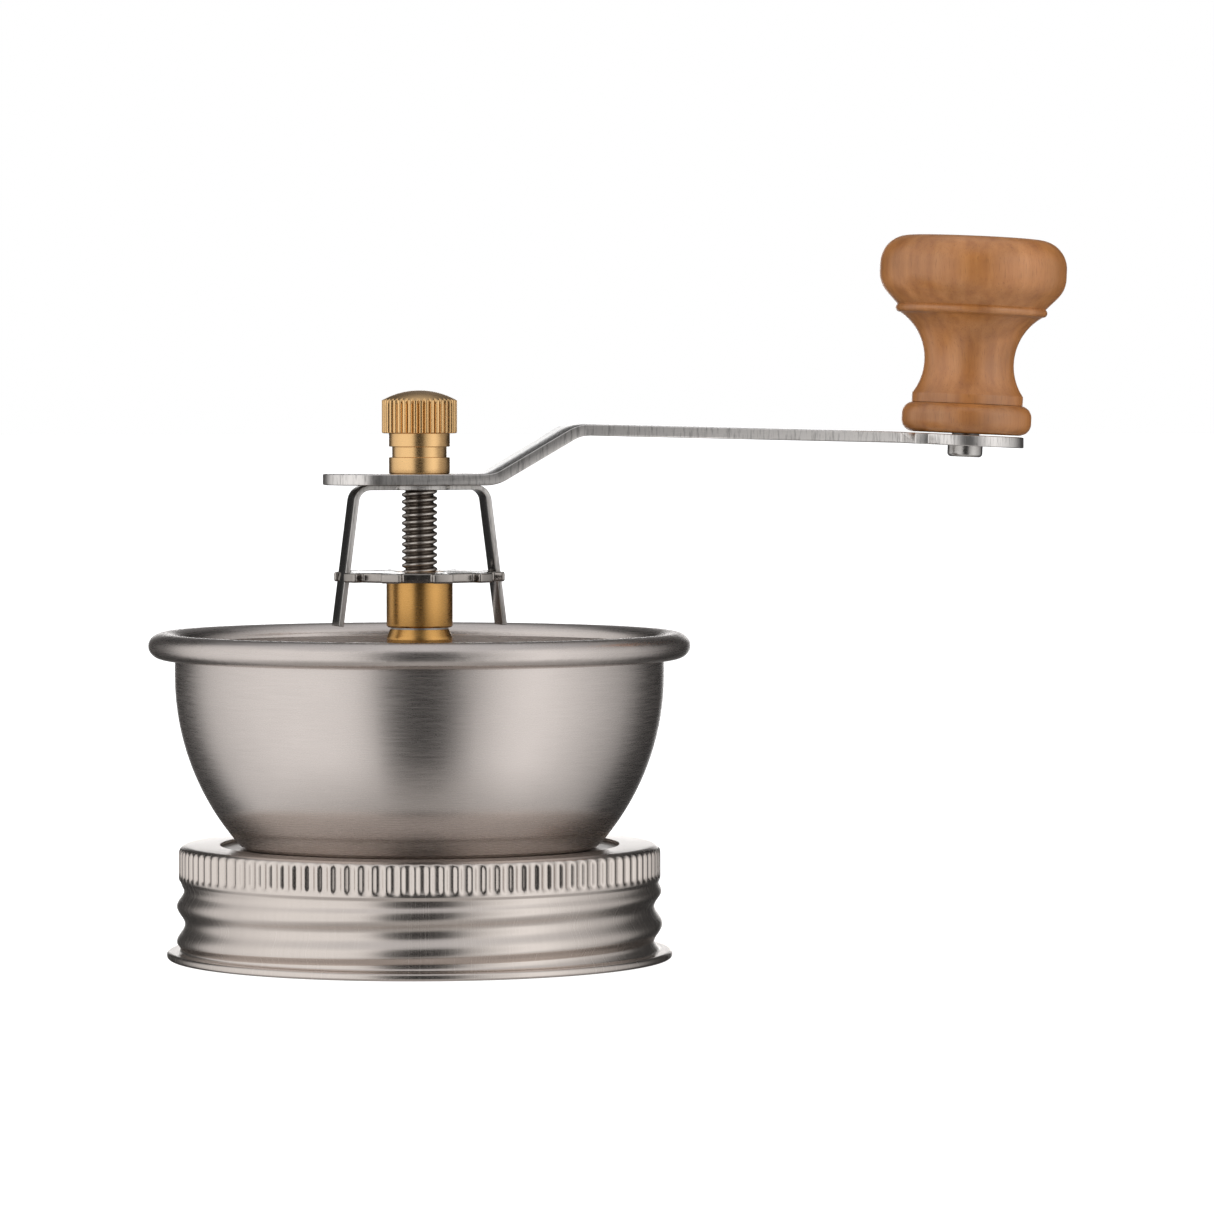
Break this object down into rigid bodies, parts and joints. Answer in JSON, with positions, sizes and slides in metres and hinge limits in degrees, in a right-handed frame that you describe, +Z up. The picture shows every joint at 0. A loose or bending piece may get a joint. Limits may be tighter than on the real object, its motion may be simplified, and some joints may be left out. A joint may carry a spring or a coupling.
{
  "type": "jar-top hand coffee grinder",
  "caption": "Hand coffee mill with a steel hopper bowl on a jar screw band, brass grind adjuster, cone burrs, bent crank and turned wooden knob.",
  "frame": {"origin": "centre of the screw band's foot, level with the surface that the mill stands on", "axes": "+Z up the spindle, +X along the crank from spindle to knob, +Y to the right-hand rule"},
  "size_m": [0.1673, 0.0972, 0.1302],
  "materials": {
    "bowl_steel": "fine horizontal brushing, satin",
    "lid_steel": "rolled sheet, satin",
    "band_steel": "rolled tinned sheet with fine vertical lines",
    "bridge_steel": "brushed strap",
    "crank_steel": "sheared edges, satin faces",
    "wheel_steel": "stamped, rounded edges",
    "spring_steel": "polished spring strip and wire",
    "dark_steel": "rolled thread, dark",
    "bright_steel": "bright plated",
    "turned_brass": "lathe-turned, satin",
    "knob_wood": "oiled fruitwood",
    "burr_ceramic": "unglazed technical ceramic",
    "housing_plastic": "moulded nylon",
    "seal_rubber": "moulded jar ring, off-white"
  },
  "bodies": {
    "hopper": {"hopper_bowl": "bowl_steel", "lid_disc": "lid_steel", "jar_seal": "seal_rubber", "burr_housing": "housing_plastic", "outer_burr": "burr_ceramic", "bearing_bridge": "bridge_steel", "bearing_bush": "turned_brass", "bush_nut": "turned_brass", "hopper_screws": "bright_steel", "hopper_nuts": "bright_steel"},
    "band": {"screw_band": "band_steel"},
    "spring_seat": {"thrust_washer": "bright_steel", "spring_washer": "bright_steel"},
    "adjuster": {"adjuster_nut": "turned_brass", "star_wheel": "wheel_steel"},
    "spindle": {"spindle": "dark_steel", "inner_burr": "burr_ceramic", "burr_washer": "bright_steel", "burr_nut": "bright_steel", "burr_spring": "spring_steel", "lock_clip": "spring_steel", "crank_arm": "crank_steel", "cap_nut": "turned_brass", "grip_axle": "bright_steel"},
    "grip": {"grip_knob": "knob_wood", "grip_plug": "knob_wood", "grip_washer": "bright_steel"}
  },
  "joints": [
    {"name": "band_turn", "type": "hinge", "parent": "hopper", "child": "band", "pos_m": [0, 0, 0], "axis": [0, 0, 1], "continuous": true},
    {"name": "crank_turn", "type": "hinge", "parent": "hopper", "child": "spring_seat", "pos_m": [0, 0, 0], "axis": [0, 0, 1], "continuous": true},
    {"name": "adjuster_turn", "type": "hinge", "parent": "spring_seat", "child": "adjuster", "pos_m": [0, 0, 0], "axis": [0, 0, 1], "range_deg": [-180, 540], "deforming": ["lock_clip"]},
    {"name": "grind_set", "type": "slide", "parent": "spring_seat", "child": "spindle", "axis": [0, 0, 1], "range_m": [-0.0019, 0.00063], "deforming": ["burr_spring"]},
    {"name": "grip_spin", "type": "hinge", "parent": "spindle", "child": "grip", "pos_m": [0.10015, 0, 0.09279], "axis": [0.0454, 0, 0.999], "continuous": true}
  ],
  "couplings": [
    {"joint": "adjuster_turn", "follows": "grind_set", "rad_per_m": -4947.4}
  ]
}
